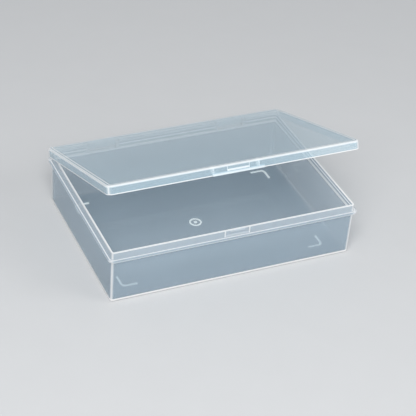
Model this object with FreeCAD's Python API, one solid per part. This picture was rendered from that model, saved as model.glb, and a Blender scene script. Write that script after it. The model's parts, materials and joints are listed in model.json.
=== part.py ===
"""Hinged flat specimen box: an open tub and a lid that swings on two clip hinges.

Millimetres, +Z up, the length along X, the front at -Y. The origin is the middle of
the underside, in the plane of the feet. The lid is drawn closed and then swung ajar.
"""
import FreeCAD, Part

import math
import os

from FreeCAD import Vector

# Tub
rim_length = 165.8            # outside of the upright rim, along X
rim_width = 116.8             # outside of the upright rim, along Y
rim_corner_radius = 2.0
tub_height = 38.2             # feet to the top of the rim
wall = 1.2
floor_thickness = 1.2
wall_draft = 0.25             # each wall leans in this much from the flange to the floor
tub_bottom_radius = 1.2
tub_inner_radius = 0.7        # between the floor and the walls, inside
rim_edge_radius = 0.3

# Feet under the floor: an L at each corner
foot_height = 0.5
foot_inset = 12.85            # rim's outside to the legs' centre lines
foot_leg = 10.7
foot_width = 1.5
foot_corner_radius = 3.2

# Moulding gate mark under the floor
gate_ring_diameter = 8.4
gate_ring_width = 1.1
gate_nub_diameter = 2.4
gate_mark_height = 0.3
gate_mark_y = 3.0

# Flange that runs round the rim
rim_height = 4.7              # how far the rim stands above the flange
flange_thickness = 1.4
flange_proud = 2.1
flange_corner_radius = 3.9
flange_edge_radius = 0.25

# Lid
lid_plate = 1.1
lid_skirt = 1.1
lid_corner_radius = 3.9
lid_edge_radius = 0.8
lid_open_angle = 20.8         # how far the lid stands ajar

# Clearances between the closed lid and the tub
rim_side_gap = 0.6            # rim to the inside of the skirt
rim_top_gap = 0.3             # rim to the underside of the plate
flange_gap = 0.3              # flange to the foot of the skirt
part_gap = 0.35               # any other two faces that pass each other

# Hinges: a moulded pin between two ears on the tub, a clip on the lid
hinge_inset = 36.15           # rim's end to the middle of the hinge
hinge_pin_length = 19.5
hinge_pin_diameter = 2.0
hinge_behind_rim = 3.0        # pin's centre behind the rim's rear face
hinge_above_flange = 1.4      # pin's centre above the flange's top
ear_thickness = 2.0
ear_wall = 0.8                # of the ear, around the pin
clip_wall = 0.95              # of the clip, around the pin
clip_running_gap = 0.05       # clip's bore to the pin, on the radius
clip_mouth_angle = 60.0       # the clip's free end, below the horizontal behind the pin
clip_gusset_height = 3.6      # above the pin's centre, on the skirt

# Catch on the front of the rim
catch_width = 17.4
catch_rib = 0.8
catch_proud = 0.3
catch_pad_height = 1.3
catch_rib_top_gap = 0.4       # ribs stop this far under the rim's top
nose_width = 10.0
nose_height = 1.4
nose_tip_height = 0.4         # of the nose's upright front face
nose_proud = 0.6

# Latch inside the lid's front skirt
latch_length = 14.6           # of the bar and of the pocket above it
latch_pocket_depth = 0.35     # the skirt is thinned this much round the catch's nose
latch_bar_height = 1.0
latch_bar_proud = 0.25        # what snaps under the nose
latch_nose_gap = 0.2          # bar's top to the nose's underside when closed

# Thumb lip at the foot of the lid's front skirt
lip_length = 35.0
lip_height = 1.8
lip_proud = 0.9
lip_rise = 0.7                # the lip's upper face slopes back over this height
lip_end_radius = 0.6

# Ribs inside the lid that back the tub's front wall
guide_spacing = 30.4
guide_thickness = 1.0
guide_depth = 4.0
guide_height = 4.6
guide_nose = 1.5              # bevel at each rib's lower inner corner

# Worked out from the sizes above
overlap = 1.0                 # how far a cutter runs past what it cuts
rim_front = -rim_width / 2
rim_rear = rim_width / 2
flange_top = tub_height - rim_height
flange_bottom = flange_top - flange_thickness
floor_top = foot_height + floor_thickness
flange_rear = rim_rear + flange_proud
lid_inner_length = rim_length + 2 * rim_side_gap
lid_inner_width = rim_width + 2 * rim_side_gap
lid_length = lid_inner_length + 2 * lid_skirt
lid_width = lid_inner_width + 2 * lid_skirt
skirt_front = -lid_width / 2
skirt_rear = lid_width / 2
skirt_inner_front = -lid_inner_width / 2
skirt_inner_rear = lid_inner_width / 2
skirt_bottom = flange_top + flange_gap
plate_bottom = tub_height + rim_top_gap
lid_top = plate_bottom + lid_plate
pin_radius = hinge_pin_diameter / 2
pin_y = rim_rear + hinge_behind_rim
pin_z = flange_top + hinge_above_flange
ear_radius = pin_radius + ear_wall
clip_bore_radius = pin_radius + clip_running_gap
clip_outer_radius = clip_bore_radius + clip_wall
nose_bottom = tub_height - nose_height
latch_bar_top = nose_bottom - latch_nose_gap
hinge_middles = {"left": hinge_inset - rim_length / 2, "right": rim_length / 2 - hinge_inset}


def rounded_wire(length, width, radius, z):
    """Closed outline of a rectangle with round corners, centred on the Z axis."""
    x = length / 2
    y = width / 2
    corners = [(x - radius, y - radius, 0), (radius - x, y - radius, 90),
               (radius - x, radius - y, 180), (x - radius, radius - y, 270)]
    edges = []
    last = None
    for cx, cy, start in corners:
        points = []
        for turn in (0, 45, 90):
            angle = math.radians(start + turn)
            points.append(Vector(cx + radius * math.cos(angle), cy + radius * math.sin(angle), z))
        if last:
            edges.append(Part.LineSegment(last, points[0]).toShape())
        else:
            first = points[0]
        edges.append(Part.Arc(*points).toShape())
        last = points[2]
    edges.append(Part.LineSegment(last, first).toShape())
    return Part.Wire(edges)


def rounded_prism(length, width, radius, bottom, top):
    """Upright block with rounded vertical edges."""
    face = Part.Face(rounded_wire(length, width, radius, bottom))
    return face.extrude(Vector(0, 0, top - bottom))


def tapered_block(shrink, bottom, top):
    """Drafted block up to the flange and an upright one above it, set in by shrink."""
    length = rim_length - 2 * shrink
    width = rim_width - 2 * shrink
    radius = rim_corner_radius - shrink
    foot = rounded_wire(length - 2 * wall_draft, width - 2 * wall_draft, radius, bottom)
    head = rounded_wire(length, width, radius, flange_bottom)
    drafted = Part.makeLoft([foot, head], True, True)
    upright = rounded_prism(length, width, radius, flange_bottom, top)
    return drafted.fuse(upright).removeSplitter()


def box_between(low, high):
    """Block from its lowest corner to its highest."""
    size = [high[i] - low[i] for i in range(3)]
    return Part.makeBox(*size, Vector(*low))


def edges_at(shape, z):
    """Edges that lie flat at the height z."""
    near = 1e-4
    return [e for e in shape.Edges
            if abs(e.BoundBox.ZMin - z) < near and abs(e.BoundBox.ZMax - z) < near]


def extrude_profile(points, start, length):
    """Block with a closed outline of (y, z) points, run along X."""
    corners = [Vector(start, y, z) for y, z in points]
    face = Part.Face(Part.makePolygon(corners + corners[:1]))
    return face.extrude(Vector(length, 0, 0))


def rod(radius, start, length):
    """Round bar on the hinge axis."""
    return Part.makeCylinder(radius, length, Vector(start, pin_y, pin_z), Vector(1, 0, 0))


def make_tub_shell():
    outside = tapered_block(0, foot_height, tub_height)
    outside = outside.makeFillet(tub_bottom_radius, edges_at(outside, foot_height))
    inside = tapered_block(wall, floor_top, tub_height + overlap)
    inside = inside.makeFillet(tub_inner_radius, edges_at(inside, floor_top))
    shell = outside.cut(inside)
    return shell.makeFillet(rim_edge_radius, edges_at(shell, tub_height))


def make_rim_flange():
    """Ledge round the rim, left out where the hinges' ears and clips stand."""
    ring = rounded_prism(rim_length + 2 * flange_proud, rim_width + 2 * flange_proud,
                         flange_corner_radius, flange_bottom, flange_top)
    rounded = edges_at(ring, flange_top) + edges_at(ring, flange_bottom)
    ring = ring.makeFillet(flange_edge_radius, rounded)
    ring = ring.cut(rounded_prism(rim_length, rim_width, rim_corner_radius,
                                  flange_bottom - overlap, flange_top + overlap))
    station = hinge_pin_length / 2 + ear_thickness
    for middle in hinge_middles.values():
        ring = ring.cut(box_between((middle - station, rim_rear - overlap, flange_bottom - overlap),
                                    (middle + station, flange_rear + overlap, flange_top + overlap)))
    return ring


def make_foot(side_x, side_y):
    """L under one corner of the floor, its bend towards the corner."""
    length = rim_length - 2 * foot_inset + foot_width
    width = rim_width - 2 * foot_inset + foot_width
    ring = rounded_prism(length, width, foot_corner_radius, 0, foot_height)
    ring = ring.cut(rounded_prism(length - 2 * foot_width, width - 2 * foot_width,
                                  foot_corner_radius - foot_width, -overlap, foot_height + overlap))
    low = (length / 2 - foot_leg, width / 2 - foot_leg, 0)
    corner = box_between(low, (length / 2 + overlap, width / 2 + overlap, foot_height))
    foot = ring.common(corner)
    if side_x < 0:
        foot = foot.mirror(Vector(), Vector(1, 0, 0))
    if side_y < 0:
        foot = foot.mirror(Vector(), Vector(0, 1, 0))
    return foot


def make_gate_mark():
    """Plain ring and nub where the moulding was fed, flush under the floor."""
    low = foot_height - gate_mark_height
    middle = Vector(0, gate_mark_y, low)
    radius = gate_ring_diameter / 2
    ring = Part.makeCylinder(radius, gate_mark_height, middle)
    ring = ring.cut(Part.makeCylinder(radius - gate_ring_width, gate_mark_height, middle))
    nub = Part.makeCylinder(gate_nub_diameter / 2, gate_mark_height, middle)
    return Part.makeCompound([ring, nub])


def make_catch_pad():
    half = catch_width / 2 - catch_rib
    return box_between((-half, rim_front - catch_proud, flange_top),
                       (half, rim_front, flange_top + catch_pad_height))


def make_catch_rib(side):
    outer = side * catch_width / 2
    inner = side * (catch_width / 2 - catch_rib)
    return box_between((min(outer, inner), rim_front - catch_proud, flange_top),
                       (max(outer, inner), rim_front, tub_height - catch_rib_top_gap))


def make_catch_nose():
    """Wedge at the rim's top: flat underneath, sloping above so that the lid rides over."""
    tip = rim_front - nose_proud
    profile = [(rim_front, nose_bottom), (tip, nose_bottom), (tip, nose_bottom + nose_tip_height),
               (rim_front, tub_height - rim_edge_radius)]
    return extrude_profile(profile, -nose_width / 2, nose_width)


def make_hinge_ear(start):
    """Ear that carries one end of a pin, from the rim's rear face round the pin."""
    root = (flange_rear, flange_bottom)
    across = root[0] - pin_y
    down = root[1] - pin_z
    reach = math.hypot(across, down)
    turn = math.atan2(down, across) + math.acos(ear_radius / reach)
    tangent = (pin_y + ear_radius * math.cos(turn), pin_z + ear_radius * math.sin(turn))
    profile = [(rim_rear, flange_bottom), root, tangent, (pin_y, pin_z),
               (pin_y, pin_z + ear_radius), (rim_rear, pin_z + ear_radius)]
    plate = extrude_profile(profile, start, ear_thickness)
    return plate.fuse(rod(ear_radius, start, ear_thickness)).removeSplitter()


def make_hinge_pin(middle):
    return rod(pin_radius, middle - hinge_pin_length / 2, hinge_pin_length)


def make_lid_shell():
    block = rounded_prism(lid_length, lid_width, lid_corner_radius, skirt_bottom, lid_top)
    block = block.makeFillet(lid_edge_radius, edges_at(block, lid_top))
    shell = block.cut(rounded_prism(lid_inner_length, lid_inner_width, lid_corner_radius - lid_skirt,
                                    skirt_bottom - overlap, plate_bottom))
    shell = shell.cut(latch_pocket())
    for middle in hinge_middles.values():
        for side in (-1, 1):
            shell = shell.cut(ear_notch(middle, side))
        shell = shell.cut(rod(clip_bore_radius, middle - hinge_pin_length / 2, hinge_pin_length))
    return shell


def latch_pocket():
    """Shallow pocket inside the front skirt for the nose of the tub's catch."""
    return box_between((-latch_length / 2, skirt_inner_front - latch_pocket_depth, latch_bar_top),
                       (latch_length / 2, skirt_inner_front, plate_bottom))


def ear_notch(middle, side):
    """Notch in the rear skirt that an ear stands in."""
    near = middle + side * (hinge_pin_length / 2 - part_gap)
    far = middle + side * (hinge_pin_length / 2 + ear_thickness + part_gap)
    return box_between((min(near, far), skirt_inner_rear - overlap, skirt_bottom - overlap),
                       (max(near, far), skirt_rear + overlap, pin_z + ear_radius + part_gap))


def make_latch_bar():
    """Bar under the pocket that snaps below the catch's nose, bevelled to ride over it."""
    proud = skirt_inner_front + latch_bar_proud
    bottom = latch_bar_top - latch_bar_height
    profile = [(skirt_inner_front, bottom), (proud, bottom + latch_bar_proud), (proud, latch_bar_top),
               (skirt_inner_front, latch_bar_top)]
    return extrude_profile(profile, -latch_length / 2, latch_length)


def make_thumb_lip():
    """Bar along the foot of the front skirt that a thumb lifts the lid by."""
    front = skirt_front - lip_proud
    top = skirt_bottom + lip_height
    profile = [(skirt_front, skirt_bottom), (front, skirt_bottom), (front, top - lip_rise),
               (skirt_front, top)]
    lip = extrude_profile(profile, -lip_length / 2, lip_length)
    ends = [e for e in lip.Edges
            if e.BoundBox.XLength < 1e-6 and abs(e.BoundBox.YMax - front) < 1e-4]
    return lip.makeFillet(lip_end_radius, ends)


def make_wall_guide(side):
    """Rib inside the lid, just behind the tub's front wall when closed."""
    front = rim_front + wall + part_gap
    rear = front + guide_depth
    bottom = plate_bottom - guide_height
    profile = [(front, plate_bottom), (front, bottom), (rear - guide_nose, bottom),
               (rear, bottom + guide_nose), (rear, plate_bottom)]
    start = side * guide_spacing / 2 - guide_thickness / 2
    return extrude_profile(profile, start, guide_thickness)


def make_hinge_clip(middle):
    """Hook on the rear skirt that snaps over a pin, open below."""
    start = middle - hinge_pin_length / 2 + part_gap
    length = hinge_pin_length - 2 * part_gap
    far = 2 * clip_outer_radius
    end = math.radians(-clip_mouth_angle)
    mouth = [(pin_y, pin_z), (pin_y + far * math.cos(end), pin_z + far * math.sin(end)),
             (pin_y - far, pin_z - 2 * far), (pin_y - far, pin_z)]
    gusset = [(skirt_rear, pin_z), (skirt_rear, pin_z + clip_gusset_height),
              (pin_y + clip_bore_radius, pin_z + clip_bore_radius)]
    hook = rod(clip_outer_radius, start, length)
    hook = hook.cut(extrude_profile(mouth, start - overlap, length + 2 * overlap))
    hook = hook.fuse(extrude_profile(gusset, start, length))
    hook = hook.cut(rod(clip_bore_radius, start - overlap, length + 2 * overlap))
    ahead = box_between((start - overlap, skirt_rear - far, pin_z - far),
                        (start + length + overlap, skirt_rear, pin_z + far))
    return hook.cut(ahead).removeSplitter()


def make_tub_pieces():
    pieces = {
        "tub_shell": make_tub_shell(),
        "rim_flange": make_rim_flange(),
        "gate_mark": make_gate_mark(),
        "catch_pad": make_catch_pad(),
        "catch_nose": make_catch_nose(),
    }
    for side, sign in (("left", -1), ("right", 1)):
        middle = hinge_middles[side]
        pieces["catch_rib_" + side] = make_catch_rib(sign)
        pieces["hinge_pin_" + side] = make_hinge_pin(middle)
        half = hinge_pin_length / 2
        pieces["hinge_ear_" + side + "_1"] = make_hinge_ear(middle - half - ear_thickness)
        pieces["hinge_ear_" + side + "_2"] = make_hinge_ear(middle + half)
        pieces["foot_front_" + side] = make_foot(sign, -1)
        pieces["foot_rear_" + side] = make_foot(sign, 1)
    return pieces


def make_lid_pieces():
    """The lid's pieces, closed and then swung about the hinge axis."""
    pieces = {
        "lid_shell": make_lid_shell(),
        "thumb_lip": make_thumb_lip(),
        "latch_bar": make_latch_bar(),
    }
    for side, sign in (("left", -1), ("right", 1)):
        pieces["wall_guide_" + side] = make_wall_guide(sign)
        pieces["hinge_clip_" + side] = make_hinge_clip(hinge_middles[side])
    for shape in pieces.values():
        shape.rotate(Vector(0, pin_y, pin_z), Vector(-1, 0, 0), lid_open_angle)
    return pieces


def main():
    os.makedirs("parts", exist_ok=True)
    pieces = {**make_tub_pieces(), **make_lid_pieces()}
    for name, shape in pieces.items():
        shape.exportStep(os.path.join("parts", name + ".step"))
        print(name, len(shape.Solids), "solids", round(shape.Volume, 2), "mm3", shape.isValid())
    print("hinge axis at y", round(pin_y, 3), "z", round(pin_z, 3))


main()
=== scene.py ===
"""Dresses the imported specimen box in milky, see-through moulded plastic.

Metres, +Z up, the box's front at -Y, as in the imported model. The tub and the lid are each one
seamless wall swept round a rounded rectangle. What is moulded on them is built from the frame.
"""
import json
import math
from collections import namedtuple
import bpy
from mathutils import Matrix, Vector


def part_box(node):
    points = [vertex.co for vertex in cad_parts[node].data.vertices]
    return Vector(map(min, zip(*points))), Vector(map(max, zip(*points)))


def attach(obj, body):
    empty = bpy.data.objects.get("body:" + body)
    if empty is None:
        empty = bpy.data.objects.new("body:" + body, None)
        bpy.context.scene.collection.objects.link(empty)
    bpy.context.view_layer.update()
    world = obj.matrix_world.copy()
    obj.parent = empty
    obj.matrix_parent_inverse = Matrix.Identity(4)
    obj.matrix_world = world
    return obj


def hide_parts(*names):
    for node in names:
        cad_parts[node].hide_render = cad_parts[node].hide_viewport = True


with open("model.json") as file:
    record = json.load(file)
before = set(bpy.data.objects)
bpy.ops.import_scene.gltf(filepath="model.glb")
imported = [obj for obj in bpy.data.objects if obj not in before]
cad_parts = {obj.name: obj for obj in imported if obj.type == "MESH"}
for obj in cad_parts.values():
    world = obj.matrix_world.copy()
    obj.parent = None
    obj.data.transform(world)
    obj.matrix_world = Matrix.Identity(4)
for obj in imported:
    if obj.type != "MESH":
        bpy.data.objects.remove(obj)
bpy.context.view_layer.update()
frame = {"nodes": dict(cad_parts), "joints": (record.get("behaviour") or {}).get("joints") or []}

from types import SimpleNamespace

import bmesh
import bpy
from bpy.props import FloatProperty, FloatVectorProperty, IntProperty, PointerProperty
from mathutils import Matrix, Vector

bl_info = {
    "name": "Specimen Box",
    "version": (1, 0, 0),
    "blender": (4, 5, 0),
    "location": "3D View > Sidebar > Specimen Box",
    "description": "Builds a hinged specimen box in milky moulded plastic around its packed frame",
    "category": "Object",
}

MM = 0.001
HINGE = frame["joints"][0]
HINGE_POINT = Vector(HINGE["pos_m"])
LID_ANGLE = math.radians(-HINGE["range_deg"][0])
OPEN_LID = (Matrix.Translation(HINGE_POINT)
            @ Matrix.Rotation(LID_ANGLE, 4, Vector(HINGE["axis"]))
            @ Matrix.Translation(-HINGE_POINT))
SIDES = ("left", "right")
EARS = [side + ear for side in SIDES for ear in ("_1", "_2")]
SAME_PLACE = 1e-6             # metres within which two places count as one
LEAST_RADIUS = 0.05 * MM      # keeps the points of a swept corner apart
SMOOTH_UP_TO = 50             # degrees; a sharper bend is shaded as an edge
EDGE_STEPS = 2                # faces round a small edge's quarter turn
RIM_STEPS = 3
TURNED_SIDES = 48             # points round a turned shape or a hinge ear's eye
PIN_SIDES = 24
FOOT_EDGE = 0.15 * MM         # rounding of the feet's edges
CLIP_MOUTH = -60              # degrees from +Y at which a clip's hook ends below its pin
CLIP_SHOULDER = 42            # degrees at which its outside meets the web to the skirt
HALF_VIEW = 208 / 1434.99     # half the width of the camera's view, at a distance of 1
SKY = (0.93, 0.96, 1.0, 1.0)

# The point attribute that says how thick the plastic looks: 0 in a thin wall, 1 where the eye
# meets solid plastic. It also paints highlight lines and bands on the walls, and a value over 1
# adds a painted glow.
THICK_AND_PAINTED_LIGHT = "thick"
SHOULDER = 0.6 * MM           # width over which the thick look of an edge fades into a face
# The front corners' bands are painted highlights, the right one wider, and the rear corners are
# painted whiter, most at their ends.
FRONT_BAND = 1.3 * MM         # half the width of the pale band in the front left corner
FRONT_BAND_WIDENING = 2       # how much wider the front right corner's band is
FRONT_CORNER = 0.9            # the middle of a front corner
REAR_CORNER = 0.35            # the middle of a rear corner, whose ends look fully thick
# Beside a corner: how far the wall's side has got, and how thick it looks there.
FRONT_FADE = ((SHOULDER, 0),)
REAR_FADE = ((1.5 * SHOULDER, 1), (2.7 * SHOULDER, 0))
CUT_EDGE = 0.9                # the edges of a cut-out
BACK_FACE = 0.03              # the share of all this that is left on a face seen from behind

WALL_THROUGH = 0.4            # share of the scattered light that leaves on a wall's far side
FOOT_THROUGH = 0.1
FOOT_COVER = 1.0

# How thick each place of the tub and the lid looks. Past solid plastic's own whiteness these paint
# highlight lines and bands, and values over 1 add a painted glow: at the tub's bottom edge, rim,
# groove and flange inside, and at the lid's border, top corners, foot edge and rear.
TUB_LOOKS = SimpleNamespace(
    bottom_edge_glow=2.2, bottom_fade=2, flange_root=0.4, flange_low_edge=0.95, flange_face=0.1,
    flange_high_edge=0.15, beside_line=0.1, flange_highlight_line=0.9, beside_rim=0.15, rim_root=0.3,
    rim_face=0.28, rim_outer_edge=0.85, rim_inner_edge=1.2, inner_face=0.2, groove=1.3,
    flange_inside=1.2, flange_inside_middle=0.5, inner_corner=0.2, rear_painted_gain=2.8,
    rear_least=0.1)
LID_LOOKS = SimpleNamespace(
    beyond_border=0.08, border=1.4, border_face=0.15, above_skirt=1, top_corner=1.6,
    round_over=0.8, foot_edge=1.2, foot=1, inner_face=0.7, inner_fillet=0.4, pocket_end=0.8,
    rear_outside=0.6, rear_inside=1.6)
# How thick the fittings look. The gate mark, the feet and the guides' roots go over 1 and carry a
# painted glow.
LOOKS = SimpleNamespace(
    catch_pad=0.45, catch_rib=0.8, catch_nose=0.35, gate=2.0, foot=3.0, ear=1.0, pin=0.7,
    clip=0.55, latch_bar=0.85, guide=1.0, guide_root_glow=5.0, lip_under=0.1, lip_front=0.6,
    lip_back=0.0)


def closed_box(name):
    """Lowest and highest corner of one of the lid's nodes with the lid turned back to closed."""
    shut = OPEN_LID.inverted()
    places = [shut @ v.co for v in frame["nodes"][name].data.vertices]
    return Vector(map(min, zip(*places))), Vector(map(max, zip(*places)))


# ---------------------------------------------------------------- sizes and colours

def length(name, description, default):
    """A length property in metres, its default given in millimetres."""
    return FloatProperty(name=name, description=description, default=default * MM,
                         min=0.0, unit="LENGTH", precision=5)


def share(name, description, default):
    return FloatProperty(name=name, description=description, default=default,
                         min=0.0, max=1.0, subtype="FACTOR")


def colour(name, description, default):
    return FloatVectorProperty(name=name, description=description, default=default,
                               size=4, min=0.0, max=1.0, subtype="COLOR")


class TubSizes(bpy.types.PropertyGroup):
    wall: length("Wall", "Thickness of the tub's walls and floor", 1.2)
    corner_radius: length("Corner radius", "Outside radius of the tub's upright corners", 2.0)
    draft: length("Draft", "How far each wall leans in between the flange and the floor", 0.25)
    bottom_radius: length("Bottom radius", "Outside radius where the walls meet the floor", 1.2)
    inner_radius: length("Inner radius", "Radius between walls and floor, inside", 0.7)
    rim_radius: length("Rim radius", "Rounding of the rim's top edges", 0.3)
    groove_drop: length("Groove drop", "Height of the rim above the groove inside it", 2.3)
    groove_depth: length("Groove depth", "Depth of the fine groove inside the rim", 0.1)
    flange_corner_radius: length("Flange corner radius", "Radius of the flange's corners", 3.9)
    flange_edge_radius: length("Flange edge radius", "Rounding of the flange's outer edges", 0.25)


class LidSizes(bpy.types.PropertyGroup):
    plate: length("Plate", "Thickness of the lid's top", 1.1)
    skirt: length("Skirt", "Thickness of the lid's upright skirt", 1.1)
    corner_radius: length("Corner radius", "Outside radius of the lid's upright corners", 3.9)
    top_radius: length("Top radius", "Rounding of the lid's top edge", 0.8)
    # The border's edge carries a painted highlight line with a glow.
    border: length("Border", "Width of the pale border round the lid's top", 2.6)
    inner_radius: length("Inner radius", "Radius between plate and skirt, inside", 0.4)
    foot_bevel: length("Foot bevel", "Rounding of the skirt's lower edges", 0.15)
    notch_gap: length("Notch gap", "Clearance round the ears in the rear skirt", 0.35)
    pocket_depth: length("Pocket depth", "Depth of the pocket above the latch bar", 0.35)


class FittingSizes(bpy.types.PropertyGroup):
    bevel: length("Bevel", "Softening of the fittings' moulded edges", 0.12)
    sink: length("Sink", "How deep a fitting is rooted in the wall that carries it", 0.15)
    latch_root: length("Latch root", "How deep the latch bar is rooted in the skirt", 1.12)
    foot_width: length("Foot width", "Width of the L-shaped feet", 1.5)
    foot_radius: length("Foot radius", "Radius of the bend in each foot, at its middle", 2.45)
    lip_rise: length("Lip rise", "Height over which the thumb lip slopes back", 0.7)
    lip_end_radius: length("Lip end radius", "Rounding of the thumb lip's ends", 0.6)
    guide_nose: length("Guide nose", "Bevel at the lower inner corner of each guide", 1.5)
    nose_tip: length("Nose tip", "Height of the catch nose's upright front", 0.4)
    gate_ring_width: length("Gate ring width", "Width of the ring where the tub was fed", 1.1)
    gate_nub_radius: length("Gate nub radius", "Radius of the nub inside that ring", 1.2)
    pin_radius: length("Pin radius", "Radius of the moulded hinge pins", 1.0)
    clip_bore_radius: length("Clip bore radius", "Inside radius of the lid's clips", 1.05)
    clip_gusset: length("Clip gusset", "Height of the web that joins a clip to the skirt", 3.6)


class PlasticLook(bpy.types.PropertyGroup):
    tub_colour: colour("Tub colour", "Scattered light of a thin wall of the tub",
                       (0.50, 0.585, 0.65, 1.0))
    # The lid is the tub's plastic; its colour is painted lighter for the light that falls on its
    # top.
    lid_colour_painted_lighter: colour("Lid colour", "Scattered light of a thin wall of the lid",
                       (0.64, 0.79, 0.86, 1.0))
    edge_colour: colour("Edge colour", "Colour where the plastic is seen thick",
                        (0.85, 0.82, 0.80, 1.0))
    foot_colour: colour("Foot colour", "Colour of the feet seen through the floor",
                        (0.97, 0.95, 0.90, 1.0))
    tub_cover: share("Tub cover", "How much one face of a thin tub wall hides", 0.30)
    lid_cover: share("Lid cover", "How much one face of a thin lid wall hides", 0.27)
    edge_cover: share("Edge cover", "How much a face hides where the plastic is thick", 0.85)
    clear_colour: colour("Clear colour", "Tint of the light that goes straight through a face",
                         (0.895, 0.92, 0.935, 1.0))
    # Strength of a painted glow: emission on thick places, standing in for light the walls would
    # gather.
    painted_edge_glow: share("Edge glow", "Light gathered by the walls that leaves at their edges", 0.1)
    roughness: share("Roughness", "Roughness of the moulded surface", 0.10)


def power(name, description, default):
    return FloatProperty(name=name, description=description, default=default,
                         min=0.0, unit="POWER")


def angle(name, description, degrees):
    return FloatProperty(name=name, description=description, default=math.radians(degrees),
                         subtype="ANGLE")


class StageLook(bpy.types.PropertyGroup):
    floor_colour: colour("Floor colour", "Colour of the plain floor", (0.43, 0.435, 0.44, 1.0))
    daylight: FloatProperty(name="Daylight", description="Strength of the light all round",
                            default=0.56, min=0.0)
    key_power: power("Key light", "Power of the large soft lamp", 35.0)
    fill_power: power("Fill light", "Power of the lamp on the far side", 9.0)
    glint_power: power("Glint", "Power of the small lamp in the gloss", 0.4)
    camera_turn: angle("Camera turn", "Direction of sight from +Y", 26.05)
    camera_height: angle("Camera height", "Angle of sight downwards", 35.28)
    camera_roll: angle("Camera roll", "Turn about the line of sight", 4.745)
    camera_angle: angle("Camera angle", "Width of the view",
                        2 * math.degrees(math.atan(HALF_VIEW)))
    camera_place: FloatVectorProperty(name="Camera place", description="Where the lens is",
                                      default=(-0.33351, -0.69648, 0.56111), unit="LENGTH")


class BoxSettings(bpy.types.PropertyGroup):
    tub: PointerProperty(type=TubSizes)
    lid: PointerProperty(type=LidSizes)
    fittings: PointerProperty(type=FittingSizes)
    look: PointerProperty(type=PlasticLook)
    stage: PointerProperty(type=StageLook)
    curve_steps: IntProperty(name="Curve steps", description="Faces round a quarter turn",
                             default=6, min=2, max=16)


# ---------------------------------------------------------------- swept walls

# A point of the wall's section: how far it lies outside the outline, the outline's radius there,
# its height, how thick it looks, how much of a column's thick look it takes on, and how thick it
# looks at least along the rear side, where it paints the rear whiter.
Row = namedtuple("Row", "grow radius height thick corner rear", defaults=(0,))
# A place on the outline: an arc's angle, a distance beside a corner, or a stop at a given x.
Column = namedtuple("Column", "kind side_x side_y value thick")
Gap = namedtuple("Gap", "first_row last_row first_column last_column")


def outline_columns(radius, steps, front_stops=(), rear_stops=()):
    """Where the points of a rounded rectangle lie, anticlockwise from its front side.

    An arc point is at an angle round its corner, an along point some way beside a corner on
    the side along x or y, and a stop at a given (x, thick) on the front or rear side. A front
    corner carries a painted highlight band, wider at the right, and a rear corner is painted
    whiter all over but least in its middle.
    """
    columns = [Column("stop", 0, -1, *stop) for stop in sorted(front_stops)]
    for side_x, side_y, start, before, after in (
            (1, -1, -90, "along_x", "along_y"), (1, 1, 0, "along_y", "along_x"),
            (-1, 1, 90, "along_x", "along_y"), (-1, -1, 180, "along_y", "along_x")):
        fade = REAR_FADE if side_y > 0 else FRONT_FADE
        band = FRONT_BAND * (FRONT_BAND_WIDENING if side_x > 0 else 1)
        columns += [Column(before, side_x, side_y, *there) for there in reversed(fade)]
        for step in range(steps + 1):
            off_middle = 2 * step / steps - 1
            off_band = radius * math.pi / 4 * off_middle / band
            thick = (REAR_CORNER + (1 - REAR_CORNER) * off_middle ** 2 if side_y > 0
                     else max(0, FRONT_CORNER - off_band ** 2))
            columns.append(Column("arc", side_x, side_y,
                                  math.radians(start + 90 * step / steps), thick))
        columns += [Column(after, side_x, side_y, *there) for there in fade]
        if (side_x, side_y) == (1, 1):
            columns += [Column("stop", 0, 1, *stop)
                        for stop in sorted(rear_stops, reverse=True)]
    return columns


def column_place(column, half_x, half_y, radius):
    """The point of a rounded outline that a column stands for."""
    if column.kind == "stop":
        return column.value, column.side_y * half_y
    if column.kind == "arc":
        return (column.side_x * (half_x - radius) + radius * math.cos(column.value),
                column.side_y * (half_y - radius) + radius * math.sin(column.value))
    if column.kind == "along_x":
        return column.side_x * (half_x - radius - column.value), column.side_y * half_y
    return column.side_x * half_x, column.side_y * (half_y - radius - column.value)


def arc_points(centre, radius, start, end, steps):
    """Points round an arc, its angles in degrees from the first axis towards the second."""
    angles = [math.radians(start + (end - start) * step / steps) for step in range(steps + 1)]
    return [(centre[0] + radius * math.cos(angle), centre[1] + radius * math.sin(angle))
            for angle in angles]


def arc_rows(centre, radius, start, end, steps, base, thick, corner=1, rear=0):
    """Rows round an arc of the wall's section; base is the (grow, radius) it is an offset of."""
    return [Row(grow, base[1] + grow - base[0], height, thick, corner, rear)
            for grow, height in arc_points(centre, radius, start, end, steps)]


def row_index(rows, height, inner):
    """Index of the row at a height, on the wall's outside or, if inner, on its inside."""
    found = [i for i, row in enumerate(rows) if abs(row.height - height) < SAME_PLACE]
    return found[-1] if inner else found[0]


def column_index(columns, x, side_y):
    """Index of the stop at x on the front or rear side."""
    return next(i for i, c in enumerate(columns)
                if c.kind == "stop" and c.side_y == side_y and abs(c.value - x) < SAME_PLACE)


def rear_gaps(rows, columns, outer_height, inner_height, stretches):
    """Gaps in the rear side from a height outside to one inside, over stretches of X."""
    first, last = row_index(rows, outer_height, False), row_index(rows, inner_height, True)
    return [Gap(first, last, column_index(columns, far, 1), column_index(columns, near, 1))
            for near, far in stretches]


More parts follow.
